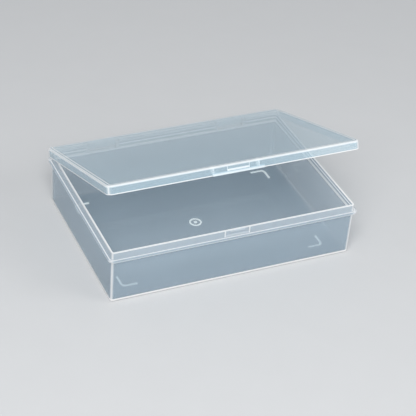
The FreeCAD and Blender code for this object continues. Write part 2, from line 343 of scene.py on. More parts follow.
def sweep_wall(rows, columns, half_x, half_y, gaps=()):
    """A closed wall whose section is the rows, run round the outline and capped at both ends.

    In a gap the section goes straight from its first row to its last, between two columns.
    """
    bm = bmesh.new()
    layer = bm.verts.layers.float.new(THICK_AND_PAINTED_LIGHT)
    grid = []
    for row in rows:
        ring = []
        for column in columns:
            x, y = column_place(column, half_x + row.grow, half_y + row.grow,
                                max(row.radius, LEAST_RADIUS))
            vert = bm.verts.new((x, y, row.height))
            vert[layer] = max(row.thick, row.corner * column.thick,
                              row.rear if column.side_y > 0 and column.kind != "along_y" else 0)
            ring.append(vert)
        grid.append(ring)
    for gap in gaps:
        for ring in grid[gap.first_row:gap.last_row + 1]:
            for vert in ring[gap.first_column:gap.last_column + 1]:
                vert[layer] = CUT_EDGE

    count = len(columns)
    faces = {}
    for j in range(count):
        k = (j + 1) % count
        here = [g for g in gaps if g.first_column <= j < g.last_column]
        i = 0
        while i < len(rows) - 1:
            after = next((g.last_row for g in here if g.first_row == i), i + 1)
            faces[i, j] = bm.faces.new((grid[i][j], grid[i][k], grid[after][k], grid[after][j]))
            i = after
    for gap in gaps:
        for j in (gap.first_column, gap.last_column):
            bm.faces.new([grid[i][j] for i in range(gap.first_row, gap.last_row + 1)])
    bm.faces.new(grid[0])
    bm.faces.new(grid[-1])
    bmesh.ops.delete(bm, geom=[v for v in bm.verts if not v.link_faces], context="VERTS")
    bmesh.ops.recalc_face_normals(bm, faces=bm.faces)
    return bm, faces


# ---------------------------------------------------------------- pieces and their finish

def finish_piece(name, bm, body, nodes, material=None):
    """Turns a bmesh into a smooth-shaded piece that rides on a body and stands for CAD nodes.

    Its plastic is the body's unless another is named. A piece of the lid is built shut.
    """
    mesh = bpy.data.meshes.new(name)
    bm.to_mesh(mesh)
    bm.free()
    if body == "lid":
        mesh.transform(OPEN_LID)
    mesh.materials.append(plastic(material or body + "_plastic"))
    piece = bpy.data.objects.new(name, mesh)
    bpy.context.scene.collection.objects.link(piece)
    soften(piece)
    settle(piece, body, nodes)


def settle(piece, body, nodes):
    """Hangs a finished piece on its body and hides the CAD nodes it stands for."""
    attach(piece, body)
    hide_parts(*nodes)


def soften(piece):
    """Smooth shading that keeps the large faces flat beside their small roundings."""
    piece.data.shade_smooth()
    piece.data.set_sharp_from_angle(angle=math.radians(SMOOTH_UP_TO))
    weighted = piece.modifiers.new("Flat faces", "WEIGHTED_NORMAL")
    weighted.keep_sharp = True
    weighted.weight = 80
    bake_modifiers(piece)


def bake_modifiers(piece):
    """Replaces a piece's mesh by what its modifiers make of it."""
    graph = bpy.context.evaluated_depsgraph_get()
    made = bpy.data.meshes.new_from_object(piece.evaluated_get(graph), depsgraph=graph)
    old = piece.data
    piece.modifiers.clear()
    piece.data = made
    made.name = piece.name
    bpy.data.meshes.remove(old)


def add_prism(bm, profile, start, end, thicks):
    """Adds a block whose closed outline of (y, z) points runs along X from start to end.

    It looks thick by one number all over, or by one for each point of its outline.
    """
    if isinstance(thicks, float):
        thicks = [thicks] * len(profile)
    layer = bm.verts.layers.float.get(THICK_AND_PAINTED_LIGHT) or bm.verts.layers.float.new(THICK_AND_PAINTED_LIGHT)
    near = [bm.verts.new((start, y, z)) for y, z in profile]
    far = [bm.verts.new((end, y, z)) for y, z in profile]
    for vert, thick in zip(near + far, thicks + thicks):
        vert[layer] = thick
    faces = [bm.faces.new(near), bm.faces.new(far)]
    for corners in zip(near, near[1:] + near[:1], far[1:] + far[:1], far):
        faces.append(bm.faces.new(corners))
    bmesh.ops.recalc_face_normals(bm, faces=faces)


def bevel_edges(bm, width, least_angle=30):
    """Rounds every edge of a bmesh that bends by more than an angle."""
    limit = math.radians(least_angle)
    edges = [e for e in bm.edges if len(e.link_faces) == 2 and e.calc_face_angle() > limit]
    bmesh.ops.bevel(bm, geom=edges, offset=width, segments=2, profile=0.5,
                    affect="EDGES", clamp_overlap=True)


# ---------------------------------------------------------------- materials

def feed(tree, socket, value):
    """Links a socket to another node's output, or sets its own value."""
    if isinstance(value, bpy.types.NodeSocket):
        tree.links.new(value, socket)
    else:
        socket.default_value = value


def node(tree, kind, inputs=None, **settings):
    """Adds a node with its settings, and feeds its inputs by their names or numbers."""
    made = tree.nodes.new(kind)
    for name, value in settings.items():
        setattr(made, name, value)
    for name, value in (inputs or {}).items():
        feed(tree, made.inputs[name], value)
    return made


def maths(tree, operation, first, second):
    """A Math node of two inputs, each a socket or a number."""
    return node(tree, "ShaderNodeMath", {0: first, 1: second}, operation=operation).outputs[0]


def noise(tree, scale, detail, stretch=(1, 1, 1)):
    """Noise over the piece's own Object coordinates, stretched along its axes."""
    place = node(tree, "ShaderNodeTexCoord")
    mapping = node(tree, "ShaderNodeMapping",
                   {"Scale": stretch, "Vector": place.outputs["Object"]})
    return node(tree, "ShaderNodeTexNoise", {
        "Scale": scale, "Detail": detail, "Vector": mapping.outputs["Vector"]}).outputs["Fac"]


def spread(tree, value, low, high):
    """Maps a 0 to 1 value on to the range from low to high."""
    return node(tree, "ShaderNodeMapRange",
                {"To Min": low, "To Max": high, "Value": value}).outputs["Result"]


def blend(tree, kind, factor, first, second):
    """Mix of two numbers (FLOAT) or colours (RGBA), each a socket or a value."""
    return node(tree, "ShaderNodeMix", {"Factor": factor, "A": first, "B": second},
                data_type=kind).outputs["Result"]


def mix_shaders(tree, factor, first, second):
    """Mix of the light of two shader nodes."""
    return node(tree, "ShaderNodeMixShader",
                {0: factor, 1: first.outputs[0], 2: second.outputs[0]})


def bump(tree, height, strength, distance):
    """Normals tilted by a height pattern."""
    return node(tree, "ShaderNodeBump", {
        "Strength": strength, "Distance": distance, "Height": height}).outputs["Normal"]


def milky_plastic(name, thin_colour, thick_colour, thin_cover, thick_cover, through, look):
    """Natural polypropylene: a milky veil in thin walls, near white where it is seen thick.

    Part of the light goes straight through each face, and the rest is scattered to both
    sides. Thick places also carry a painted glow, an emission standing in for light the walls
    would gather. A faint cloudiness, flow lines and a slight unevenness come from the moulding.
    """
    material = bpy.data.materials.new(name)
    material.use_nodes = True
    tree = material.node_tree
    tree.nodes.clear()

    outside = maths(tree, "SUBTRACT", 1.0,
                    node(tree, "ShaderNodeNewGeometry").outputs["Backfacing"])
    # How thick each face looks, its painted highlights and glow included; a face seen from behind
    # keeps only a small share.
    thick = maths(tree, "MULTIPLY",
                  node(tree, "ShaderNodeAttribute", attribute_name=THICK_AND_PAINTED_LIGHT).outputs["Fac"],
                  spread(tree, outside, low=BACK_FACE, high=1.0))
    clouds = noise(tree, scale=28.0, detail=3.0)
    flow = noise(tree, scale=60.0, detail=2.0, stretch=(0.25, 1.6, 1.0))
    skin = noise(tree, scale=420.0, detail=4.0)

    veil = blend(tree, "FLOAT", thick, thin_cover, thick_cover)
    veil = maths(tree, "MULTIPLY", veil, spread(tree, clouds, low=0.92, high=1.08))
    veil = maths(tree, "MULTIPLY", veil, spread(tree, flow, low=0.95, high=1.05))
    body = blend(tree, "RGBA", thick, thin_colour, thick_colour)
    uneven = bump(tree, clouds, strength=0.12, distance=0.2 * MM)

    front, back = (node(tree, kind, {"Color": body, "Normal": uneven})
                   for kind in ("ShaderNodeBsdfDiffuse", "ShaderNodeBsdfTranslucent"))
    scatter = mix_shaders(tree, through, front, back)
    # Painted glow: emission in the edge colour on thick places, though the plastic is no lamp.
    glow = node(tree, "ShaderNodeEmission", {
        "Color": thick_colour, "Strength": maths(tree, "MULTIPLY", thick, look.painted_edge_glow)})
    lit = node(tree, "ShaderNodeAddShader", {0: scatter.outputs[0], 1: glow.outputs[0]})
    clear = node(tree, "ShaderNodeBsdfTransparent", {"Color": tuple(look.clear_colour)})
    milky = mix_shaders(tree, veil, clear, lit)

    gloss = node(tree, "ShaderNodeBsdfGlossy", {
        "Roughness": spread(tree, skin, low=0.85 * look.roughness, high=1.25 * look.roughness),
        "Normal": bump(tree, skin, strength=0.03, distance=0.1 * MM)})
    fresnel = node(tree, "ShaderNodeFresnel", {"IOR": 1.4, "Normal": uneven})
    surface = mix_shaders(tree, maths(tree, "MULTIPLY", fresnel.outputs[0], outside),
                          milky, gloss)
    node(tree, "ShaderNodeOutputMaterial", {"Surface": surface.outputs[0]})
    return material


def plastic(which):
    """The tub's, lid's or feet's plastic, made once."""
    look = bpy.context.scene.specimen_box.look
    edge = look.edge_colour, look.edge_cover, WALL_THROUGH
    (thin, cover), (thick, thick_cover, through) = {
        "tub_plastic": ((look.tub_colour, look.tub_cover), edge),
        "lid_plastic": ((look.lid_colour_painted_lighter, look.lid_cover), edge),
        "foot_plastic": ((look.tub_colour, look.tub_cover),
                         (look.foot_colour, FOOT_COVER, FOOT_THROUGH)),
    }[which]
    made = bpy.data.materials.get(which + "_finish")
    return made or milky_plastic(which + "_finish", tuple(thin), tuple(thick), cover,
                                 thick_cover, through, look)


# ---------------------------------------------------------------- the tub

def tub_rows(sizes, shell, flange, steps):
    """The tub wall's section, from the middle of the underside out, up, over the rim and in."""
    look = TUB_LOOKS
    low, rim_top = shell[0].z, shell[1].z
    flange_low, flange_top = flange[0].z, flange[1].z
    proud = flange[1].x - shell[1].x
    edge, rim, bottom = sizes.flange_edge_radius, sizes.rim_radius, sizes.bottom_radius
    corner, flange_corner = sizes.corner_radius, sizes.flange_corner_radius
    inner_corner = corner - sizes.wall
    floor_top = low + sizes.wall
    middle = (flange_low + flange_top) / 2
    foot = -sizes.draft
    turn_in = foot - bottom

    rows = [Row(turn_in - SHOULDER, corner - bottom - SHOULDER, low, 0, 0)]
    # The bottom edge and a band just above it are painted white with a painted glow.
    rows += arc_rows((turn_in, low + bottom), bottom, -90, 0, steps, (foot, corner),
                     look.bottom_edge_glow)
    rows += [Row(foot, corner, low + bottom + 0.6 * SHOULDER, look.bottom_fade, 1),
             Row(foot, corner, low + bottom + 1.6 * SHOULDER, 0, 1),
             Row(0, corner, flange_low - SHOULDER, 0, 1),
             Row(0, corner, flange_low, look.flange_root, 1)]

    rows += arc_rows((proud - edge, flange_low + edge), edge, -90, 0, EDGE_STEPS,
                     (proud, flange_corner), look.flange_low_edge, 0)
    rows.append(Row(proud, flange_corner, middle, look.flange_face, 0.5))
    rows += arc_rows((proud - edge, flange_top - edge), edge, 0, 90, EDGE_STEPS,
                     (proud, flange_corner), look.flange_high_edge, 1)
    # A painted highlight line runs along the middle of the flange's top.
    rows += [Row(part * proud, corner + part * (flange_corner - corner), flange_top, thick, 0)
             for part, thick in ((0.75, look.beside_line), (0.58, look.flange_highlight_line),
                                 (0.4, look.flange_highlight_line), (0.23, look.beside_rim))]

    rows += [Row(0, corner, height, thick, 1)
             for height, thick in ((flange_top, look.rim_root),
                                   (flange_top + SHOULDER, look.rim_face),
                                   (rim_top - rim - SHOULDER / 2, look.rim_face))]
    rows += arc_rows((-rim, rim_top - rim), rim, 0, 90, RIM_STEPS, (0, corner),
                     look.rim_outer_edge)
    rows += arc_rows((rim - sizes.wall, rim_top - rim), rim, 90, 180, RIM_STEPS,
                     (-sizes.wall, inner_corner), look.rim_inner_edge)

    # The rear rim is painted whiter all over, with a painted glow in its brighter lines, for the
    # look of the rim seen slantwise through its wall.
    groove = rim_top - sizes.groove_drop
    for height, sunk, thick in (
            (rim_top - rim - SHOULDER / 2, 0, look.inner_face),
            (groove + 0.8 * SHOULDER, 0, look.inner_face),
            (groove + 0.4 * SHOULDER, sizes.groove_depth, look.groove),
            (groove - 0.4 * SHOULDER, sizes.groove_depth, look.groove),
            (groove - 0.8 * SHOULDER, 0, look.inner_face),
            (flange_top + SHOULDER / 2, 0, look.inner_face),
            (flange_top, 0, look.flange_inside), (middle, 0, look.flange_inside_middle),
            (flange_low, 0, look.flange_inside)):
        rows.append(Row(sunk - sizes.wall, inner_corner + sunk, height, thick,
                        look.inner_corner, look.rear_painted_gain * thick + look.rear_least))

    fillet = sizes.inner_radius
    inner_foot = foot - sizes.wall
    rows += [Row(-sizes.wall, inner_corner, flange_low - SHOULDER / 2, 0, look.inner_corner),
             Row(inner_foot, inner_corner, floor_top + fillet + SHOULDER, 0, look.inner_corner)]
    rows += arc_rows((inner_foot - fillet, floor_top + fillet), fillet, 0, -90, steps // 2,
                     (inner_foot, inner_corner), 0, look.inner_corner)
    rows.append(Row(inner_foot - fillet - SHOULDER, 0, floor_top, 0, 0))
    return rows


class SPECIMENBOX_OT_tub(bpy.types.Operator):
    """Build the tub: floor, walls, flange and rim as one wall, open at the hinge stations"""
    bl_idname = "specimen_box.tub"
    bl_label = "Tub"

    def execute(self, context):
        settings = context.scene.specimen_box
        sizes = settings.tub
        shell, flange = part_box("tub_shell"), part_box("rim_flange")
        stations = [(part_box("hinge_ear_" + side + "_1")[0].x,
                     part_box("hinge_ear_" + side + "_2")[1].x) for side in SIDES]
        rows = tub_rows(sizes, shell, flange, settings.curve_steps)
        columns = outline_columns(
            sizes.corner_radius, settings.curve_steps,
            rear_stops=[(x, 0) for near, far in stations
                        for x in (near - SHOULDER, near, far, far + SHOULDER)])
        gaps = rear_gaps(rows, columns, flange[0].z, flange[1].z, stations)
        bm, _ = sweep_wall(rows, columns, shell[1].x, shell[1].y, gaps)
        finish_piece("tub_moulding", bm, "tub", ["tub_shell", "rim_flange"])
        return {"FINISHED"}


class SPECIMENBOX_OT_catch(bpy.types.Operator):
    """Build the catch on the front of the rim: its pad, two ribs and nose"""
    bl_idname = "specimen_box.catch"
    bl_label = "Catch"

    def execute(self, context):
        fittings = context.scene.specimen_box.fittings
        thicks = {"catch_pad": LOOKS.catch_pad, "catch_rib_left": LOOKS.catch_rib,
                  "catch_rib_right": LOOKS.catch_rib}
        bm = bmesh.new()
        for name, thick in thicks.items():
            low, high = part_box(name)
            root = high.y + fittings.sink
            add_prism(bm, [(low.y, low.z), (root, low.z), (root, high.z), (low.y, high.z)],
                      low.x, high.x, thick)
        bevel_edges(bm, fittings.bevel / 2)
        finish_piece("catch_frame", bm, "tub", list(thicks))

        low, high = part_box("catch_nose")
        root = high.y + fittings.sink
        bm = bmesh.new()
        add_prism(bm, [(root, low.z), (low.y, low.z), (low.y, low.z + fittings.nose_tip),
                       (high.y, high.z), (root, high.z)], low.x, high.x, LOOKS.catch_nose)
        bevel_edges(bm, fittings.bevel / 2)
        finish_piece("catch_nose_wedge", bm, "tub", ["catch_nose"])
        return {"FINISHED"}


class SPECIMENBOX_OT_gate_mark(bpy.types.Operator):
    """Build the plain ring and nub under the floor where the moulding was fed"""
    bl_idname = "specimen_box.gate_mark"
    bl_label = "Gate mark"

    def execute(self, context):
        fittings = context.scene.specimen_box.fittings
        low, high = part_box("gate_mark")
        middle = (low + high) / 2
        top = high.z + fittings.sink
        outer = (high.x - low.x) / 2
        soft = fittings.bevel / 2
        bm = bmesh.new()
        inner, nub = outer - fittings.gate_ring_width, fittings.gate_nub_radius
        add_turned(bm, [(outer, top), (outer, low.z + soft), (outer - soft, low.z),
                        (inner + soft, low.z), (inner, low.z + soft), (inner, top)],
                   middle, closed=True)
        add_turned(bm, [(0, top), (nub, top), (nub, low.z + soft), (nub - soft, low.z),
                        (0, low.z)], middle, closed=False)
        finish_piece("gate_ring_and_nub", bm, "tub", ["gate_mark"], "foot_plastic")
        return {"FINISHED"}


def add_turned(bm, profile, middle, closed):
    """Adds a shape turned about the upright line through middle from (radius, z) points."""
    layer = bm.verts.layers.float.get(THICK_AND_PAINTED_LIGHT) or bm.verts.layers.float.new(THICK_AND_PAINTED_LIGHT)
    verts = [bm.verts.new((middle.x + radius, middle.y, z)) for radius, z in profile]
    # The gate mark carries a painted glow on top of solid plastic's whiteness.
    for vert in verts:
        vert[layer] = LOOKS.gate
    edges = [bm.edges.new(pair)
             for pair in zip(verts, verts[1:] + (verts[:1] if closed else []))]
    bmesh.ops.spin(bm, geom=verts + edges, cent=middle, axis=(0, 0, 1),
                   angle=2 * math.pi, steps=TURNED_SIDES)
    bmesh.ops.remove_doubles(bm, verts=bm.verts, dist=SAME_PLACE)
    bmesh.ops.recalc_face_normals(bm, faces=bm.faces)


# ---------------------------------------------------------------- node trees and the feet

def start_tree(name, numbers, vectors=()):
    """Starts a Geometry Nodes tree: the tree and the outputs of its named inputs."""
    tree = bpy.data.node_groups.new(name, "GeometryNodeTree")
    tree.interface.new_socket("Geometry", in_out="OUTPUT", socket_type="NodeSocketGeometry")
    for names, kind in ((numbers, "NodeSocketFloat"), (vectors, "NodeSocketVector")):
        for size in names:
            tree.interface.new_socket(size, in_out="INPUT", socket_type=kind)
    return tree, node(tree, "NodeGroupInput").outputs


def end_tree(tree, geometry, material, thick):
    """Ends a tree: real geometry, its thick-look attribute (a painted glow where it is over 1) and
    its material.
    """
    real = node(tree, "GeometryNodeRealizeInstances", {"Geometry": geometry})
    mark = node(tree, "GeometryNodeStoreNamedAttribute",
                {"Geometry": real.outputs[0], "Name": THICK_AND_PAINTED_LIGHT, "Value": thick},
                data_type="FLOAT", domain="POINT")
    paint = node(tree, "GeometryNodeSetMaterial",
                 {"Geometry": mark.outputs[0], "Material": material})
    node(tree, "NodeGroupOutput", {0: paint.outputs[0]})
    return tree


def vector(tree, **parts):
    """A vector from some of its X, Y and Z."""
    return node(tree, "ShaderNodeCombineXYZ", parts).outputs[0]


def moved(tree, geometry, translation=(0, 0, 0), rotation=(0, 0, 0), scale=(1, 1, 1)):
    return node(tree, "GeometryNodeTransform", {
        "Geometry": geometry, "Translation": translation, "Rotation": rotation,
        "Scale": scale}).outputs[0]


def set_on(tree, points, instance, rotation=(0, 0, 0)):
    """Sets an instance on each point."""
    return node(tree, "GeometryNodeInstanceOnPoints", {
        "Points": points, "Instance": instance, "Rotation": rotation}).outputs[0]


def rounded_bends(tree, curve, radius, count):
    """Rounds each bend of a curve by an arc of count points."""
    return node(tree, "GeometryNodeFilletCurve",
                {"Curve": curve, "Radius": radius, "Count": count}, mode="POLY").outputs[0]


def foot_tree(material):
    """Node tree: an L-shaped rail with a rounded bend, set down once at each corner."""
    tree, given = start_tree("Corner feet", (
        "Reach X", "Reach Y", "Leg", "Width", "Height", "Bend radius", "Lift"))

    # The rail's path: along X to the bend at the origin, then along Y.
    back = maths(tree, "MULTIPLY", given["Leg"], -1.0)
    line = node(tree, "GeometryNodeCurvePrimitiveLine")
    three = node(tree, "GeometryNodeResampleCurve", {"Curve": line.outputs[0], "Count": 3})
    index = node(tree, "GeometryNodeInputIndex").outputs[0]
    is_first = maths(tree, "LESS_THAN", index, 0.5)
    is_last = maths(tree, "GREATER_THAN", index, 1.5)
    path = node(tree, "GeometryNodeSetPosition", {
        "Geometry": three.outputs[0],
        "Position": vector(tree, X=maths(tree, "MULTIPLY", back, is_first),
                           Y=maths(tree, "MULTIPLY", back, is_last))})
    section = node(tree, "GeometryNodeCurvePrimitiveQuadrilateral",
                   {"Width": given["Width"], "Height": given["Height"]})
    rail = node(tree, "GeometryNodeCurveToMesh", {
        "Curve": rounded_bends(tree, path.outputs[0], given["Bend radius"], count=8),
        "Profile Curve": rounded_bends(tree, section.outputs[0], FOOT_EDGE, count=3),
        "Fill Caps": True})

    # Four seats, anticlockwise from the rear right, each a quarter turn on from the one before.
    corners = node(tree, "GeometryNodeMeshCircle", {"Vertices": 4, "Radius": math.sqrt(2)})
    square = moved(tree, corners.outputs["Mesh"], rotation=(0, 0, math.pi / 4))
    seats = moved(tree, square, vector(tree, Z=given["Lift"]),
                  scale=vector(tree, X=given["Reach X"], Y=given["Reach Y"], Z=1.0))
    turn = maths(tree, "MULTIPLY", index, math.pi / 2)
    feet = set_on(tree, seats, rail.outputs[0], vector(tree, Z=turn))
    # The feet carry a painted glow on top of solid plastic's whiteness.
    return end_tree(tree, feet, material, LOOKS.foot)


def grown_piece(name, tree, values, bevel=0.0):
    """A plain mesh object made by a node tree from named values."""
    piece = bpy.data.objects.new(name, bpy.data.meshes.new(name))
    bpy.context.scene.collection.objects.link(piece)
    modifier = piece.modifiers.new("Nodes", "NODES")
    modifier.node_group = tree
    for item in tree.interface.items_tree:
        if item.in_out == "INPUT" and item.name in values:
            modifier[item.identifier] = values[item.name]
    bake_modifiers(piece)
    bm = bmesh.new()
    bm.from_mesh(piece.data)
    bmesh.ops.remove_doubles(bm, verts=bm.verts, dist=SAME_PLACE)
    bmesh.ops.recalc_face_normals(bm, faces=bm.faces)
    if bevel:
        bevel_edges(bm, bevel)
    bm.to_mesh(piece.data)
    bm.free()
    soften(piece)
    return piece


class SPECIMENBOX_OT_feet(bpy.types.Operator):
    """Build the four L-shaped feet under the floor"""
    bl_idname = "specimen_box.feet"
    bl_label = "Feet"

    def execute(self, context):
        fittings = context.scene.specimen_box.fittings
        low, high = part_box("foot_rear_right")
        half = fittings.foot_width / 2
        height = high.z - low.z + fittings.sink
        values = {
            "Reach X": high.x - half,
            "Reach Y": high.y - half,
            "Leg": high.x - low.x - half,
            "Width": fittings.foot_width,
            "Height": height,
            "Bend radius": fittings.foot_radius,
            "Lift": low.z + height / 2,
        }
        feet = grown_piece("corner_feet", foot_tree(plastic("foot_plastic")), values)
        settle(feet, "tub", ["foot_" + end + "_" + side
                             for end in ("front", "rear") for side in SIDES])
        return {"FINISHED"}


# ---------------------------------------------------------------- the hinges

def ear_tree(material):
    """Node tree: hinge ears along the axis, each the hull round its root and its eye."""
    tree, given = start_tree("Hinge ears", ("Eye radius", "Thickness"), (
        "Root size", "Root place", "Axis place", "First place", "Pair step", "Hinge step"))
    eye = node(tree, "GeometryNodeMeshCylinder", {
        "Vertices": TURNED_SIDES, "Radius": given["Eye radius"],
        "Depth": given["Thickness"]}).outputs["Mesh"]
    root = node(tree, "GeometryNodeMeshCube", {"Size": given["Root size"]}).outputs["Mesh"]
    both = node(tree, "GeometryNodeJoinGeometry")
    feed(tree, both.inputs[0], moved(tree, eye, given["Axis place"], (0, math.pi / 2, 0)))
    feed(tree, both.inputs[0], moved(tree, root, given["Root place"]))
    hull = node(tree, "GeometryNodeConvexHull", {0: both.outputs[0]})

    # Two hinges with two ears each: a row of two pairs.
    hinges = node(tree, "GeometryNodeMeshLine", {
        "Count": 2, "Start Location": given["First place"], "Offset": given["Hinge step"]})
    pair = node(tree, "GeometryNodeMeshLine", {"Count": 2, "Offset": given["Pair step"]})
    ears = set_on(tree, hinges.outputs[0], set_on(tree, pair.outputs[0], hull.outputs[0]))
    return end_tree(tree, ears, material, LOOKS.ear)


class SPECIMENBOX_OT_hinge_ears(bpy.types.Operator):
    """Build the ears and pins that the tub carries at the back"""
    bl_idname = "specimen_box.hinge_ears"
    bl_label = "Hinge ears and pins"

    def execute(self, context):
        settings = context.scene.specimen_box
        fittings = settings.fittings
        boxes = {ear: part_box("hinge_ear_" + ear) for ear in EARS}
        low, high = boxes["left_1"]
        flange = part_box("rim_flange")[1]
        root = low.y - fittings.sink
        thickness = high.x - low.x
        values = {
            "Eye radius": high.y - HINGE_POINT.y,
            "Thickness": thickness,
            "Root size": (thickness, flange.y - root, high.z - low.z),
            "Root place": (0, (flange.y + root) / 2, (low.z + high.z) / 2),
            "Axis place": (0, *HINGE_POINT.yz),
            "First place": ((low.x + high.x) / 2, 0, 0),
            "Pair step": (boxes["left_2"][0].x - low.x, 0, 0),
            "Hinge step": (boxes["right_1"][0].x - low.x, 0, 0),
        }
        ears = grown_piece("hinge_ears", ear_tree(plastic("tub_plastic")), values,
                           bevel=fittings.bevel)
        settle(ears, "tub", ["hinge_ear_" + ear for ear in EARS])

        bm = bmesh.new()
        for side in SIDES:
            low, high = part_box("hinge_pin_" + side)
            circle = arc_points(HINGE_POINT.yz, fittings.pin_radius, 0,
                                360 - 360 / PIN_SIDES, PIN_SIDES - 1)
            add_prism(bm, circle, low.x - fittings.sink, high.x + fittings.sink, LOOKS.pin)
        finish_piece("hinge_pins", bm, "tub", ["hinge_pin_" + side for side in SIDES])
        return {"FINISHED"}


class SPECIMENBOX_OT_hinge_clips(bpy.types.Operator):
    """Build the lid's two clips, hooked over the pins"""
    bl_idname = "specimen_box.hinge_clips"
    bl_label = "Hinge clips"

    def execute(self, context):
        fittings = context.scene.specimen_box.fittings
        skirt = closed_box("lid_shell")[1].y
        root = skirt - fittings.sink
        top = HINGE_POINT.z + fittings.clip_gusset
        for side in SIDES:
            low, high = closed_box("hinge_clip_" + side)
            inside = arc_points(HINGE_POINT.yz, fittings.clip_bore_radius, CLIP_MOUTH, 180, 20)
            outside = arc_points(HINGE_POINT.yz, high.y - HINGE_POINT.y, CLIP_SHOULDER,
                                 CLIP_MOUTH, 10)
            profile = inside + [(root, HINGE_POINT.z), (root, top), (skirt, top)] + outside
            bm = bmesh.new()
            add_prism(bm, profile, low.x, high.x, LOOKS.clip)
            bevel_edges(bm, fittings.bevel / 2, least_angle=50)
            finish_piece("hinge_clip_hook_" + side, bm, "lid", ["hinge_clip_" + side])
        return {"FINISHED"}


# ---------------------------------------------------------------- the lid

def lid_rows(sizes, box, notch_top, pocket_low, steps):
    """The lid wall's section, from the middle of the top out, down the skirt and back in."""
    look = LID_LOOKS
    top, foot = box[1].z, box[0].z
    under = top - sizes.plate
    corner = sizes.corner_radius
    inner_corner = corner - sizes.skirt
    out, inn = (0, corner), (-sizes.skirt, inner_corner)
    round_over, bevel, fillet = sizes.top_radius, sizes.foot_bevel, sizes.inner_radius

    # The top is painted: a highlight line with a glow at the border's edge, a pale band out to the
    # skirt, and a glow at the top's corners.
    rows = [Row(-inwards, corner - inwards, top, thick, look.top_corner * thick)
            for inwards, thick in ((sizes.border + SHOULDER, look.beyond_border),
                                   (sizes.border, look.border),
                                   (sizes.border - 0.7 * SHOULDER, look.border_face),
                                   (sizes.skirt + 0.7 * SHOULDER, look.border_face),
                                   (sizes.skirt, look.above_skirt))]
    rows += arc_rows((-round_over, top - round_over), round_over, 90, 0, steps, out,
                     look.round_over)
    # Along the rear the skirt is painted whiter, with a painted glow on its inside.
    rows += [Row(0, corner, height, thick, 1, look.rear_outside)
             for height, thick in ((under - SHOULDER / 2, 0), (notch_top, 0),
                                   (foot + bevel + SHOULDER, 0),
                                   (foot + bevel + SHOULDER / 2, look.foot_edge))]
    rows += arc_rows((-bevel, foot + bevel), bevel, 0, -90, EDGE_STEPS, out, look.foot)
    rows += arc_rows((bevel - sizes.skirt, foot + bevel), bevel, -90, -180, EDGE_STEPS, inn,
                     look.foot)
    rows += [Row(-sizes.skirt, inner_corner, height, look.inner_face, 1, look.rear_inside)
             for height in (foot + bevel + SHOULDER / 2, pocket_low, notch_top)]
    rows += arc_rows((-sizes.skirt - fillet, under - fillet), fillet, 0, 90, steps // 2, inn,
                     look.inner_fillet, 1, look.rear_inside)
    rows.append(Row(-sizes.skirt - fillet - SHOULDER, inner_corner - fillet - SHOULDER,
                    under, 0, 0))
    return rows


class SPECIMENBOX_OT_lid(bpy.types.Operator):
    """Build the lid: plate and skirt as one wall, notched for the ears, with the latch's pocket"""
    bl_idname = "specimen_box.lid"
    bl_label = "Lid"

    def execute(self, context):
        settings = context.scene.specimen_box
        sizes = settings.lid
        box = closed_box("lid_shell")
        latch = closed_box("latch_bar")
        gap = sizes.notch_gap
        ears = sorted((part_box("hinge_ear_" + ear) for ear in EARS), key=lambda ear: ear[0].x)
        notches = [(low.x - gap, high.x + gap) for low, high in ears]
        notch_top = ears[0][1].z + gap
        rows = lid_rows(sizes, box, notch_top, latch[1].z, settings.curve_steps)
        pocket_ends = [(x + shift * SHOULDER / 2, LID_LOOKS.pocket_end * (shift == 0))
                       for x in (latch[0].x, latch[1].x) for shift in (-1, 0, 1)]
        columns = outline_columns(sizes.corner_radius, settings.curve_steps,
                                  front_stops=pocket_ends,
                                  rear_stops=[(x, 0) for notch in notches for x in notch])
        gaps = rear_gaps(rows, columns, notch_top, notch_top, notches)
        bm, faces = sweep_wall(rows, columns, box[1].x, box[1].y, gaps)
        row = row_index(rows, latch[1].z, True)
        pocket = [faces[i, j] for i in (row, row + 1)
                  for j in range(column_index(columns, latch[0].x, -1),
                                 column_index(columns, latch[1].x, -1))]
        sunk = bmesh.ops.extrude_face_region(bm, geom=pocket)
        bmesh.ops.delete(bm, geom=pocket, context="FACES_ONLY")
        verts = [v for v in sunk["geom"] if isinstance(v, bmesh.types.BMVert)]
        bmesh.ops.translate(bm, verts=verts, vec=(0, -sizes.pocket_depth, 0))
        bmesh.ops.recalc_face_normals(bm, faces=bm.faces)
        finish_piece("lid_moulding", bm, "lid", ["lid_shell"])
        return {"FINISHED"}


class SPECIMENBOX_OT_latch(bpy.types.Operator):
    """Build the latch bar and the two guides inside the lid's front"""
    bl_idname = "specimen_box.latch"
    bl_label = "Latch bar and guides"

    def execute(self, context):
        fittings = context.scene.specimen_box.fittings
        low, high = closed_box("latch_bar")
        proud = high.y - low.y
        root = low.y - fittings.latch_root
        bm = bmesh.new()
        add_prism(bm, [(root, low.z), (low.y, low.z), (high.y, low.z + proud), (high.y, high.z),
                       (root, high.z)], low.x, high.x, LOOKS.latch_bar)
        bevel_edges(bm, fittings.bevel / 3)
        finish_piece("latch_bar_rail", bm, "lid", ["latch_bar"])

        bm = bmesh.new()
        nose = fittings.guide_nose
        for side in SIDES:
            low, high = closed_box("wall_guide_" + side)
            top, front = high.z + fittings.sink, low.y - fittings.sink
            inside = low.y + fittings.sink
            # The guides' roots carry a strong painted glow, so they show as pale bars through the
            # skirt.
            add_prism(bm, [(front, top), (front, low.z), (inside, low.z), (high.y - nose, low.z),
                           (high.y, low.z + nose), (high.y, top), (inside, top)],
                      low.x, high.x,
                      2 * [LOOKS.guide_root_glow] + 5 * [LOOKS.guide])
        bevel_edges(bm, fittings.bevel)
        finish_piece("wall_guides", bm, "lid", ["wall_guide_" + side for side in SIDES])
        return {"FINISHED"}


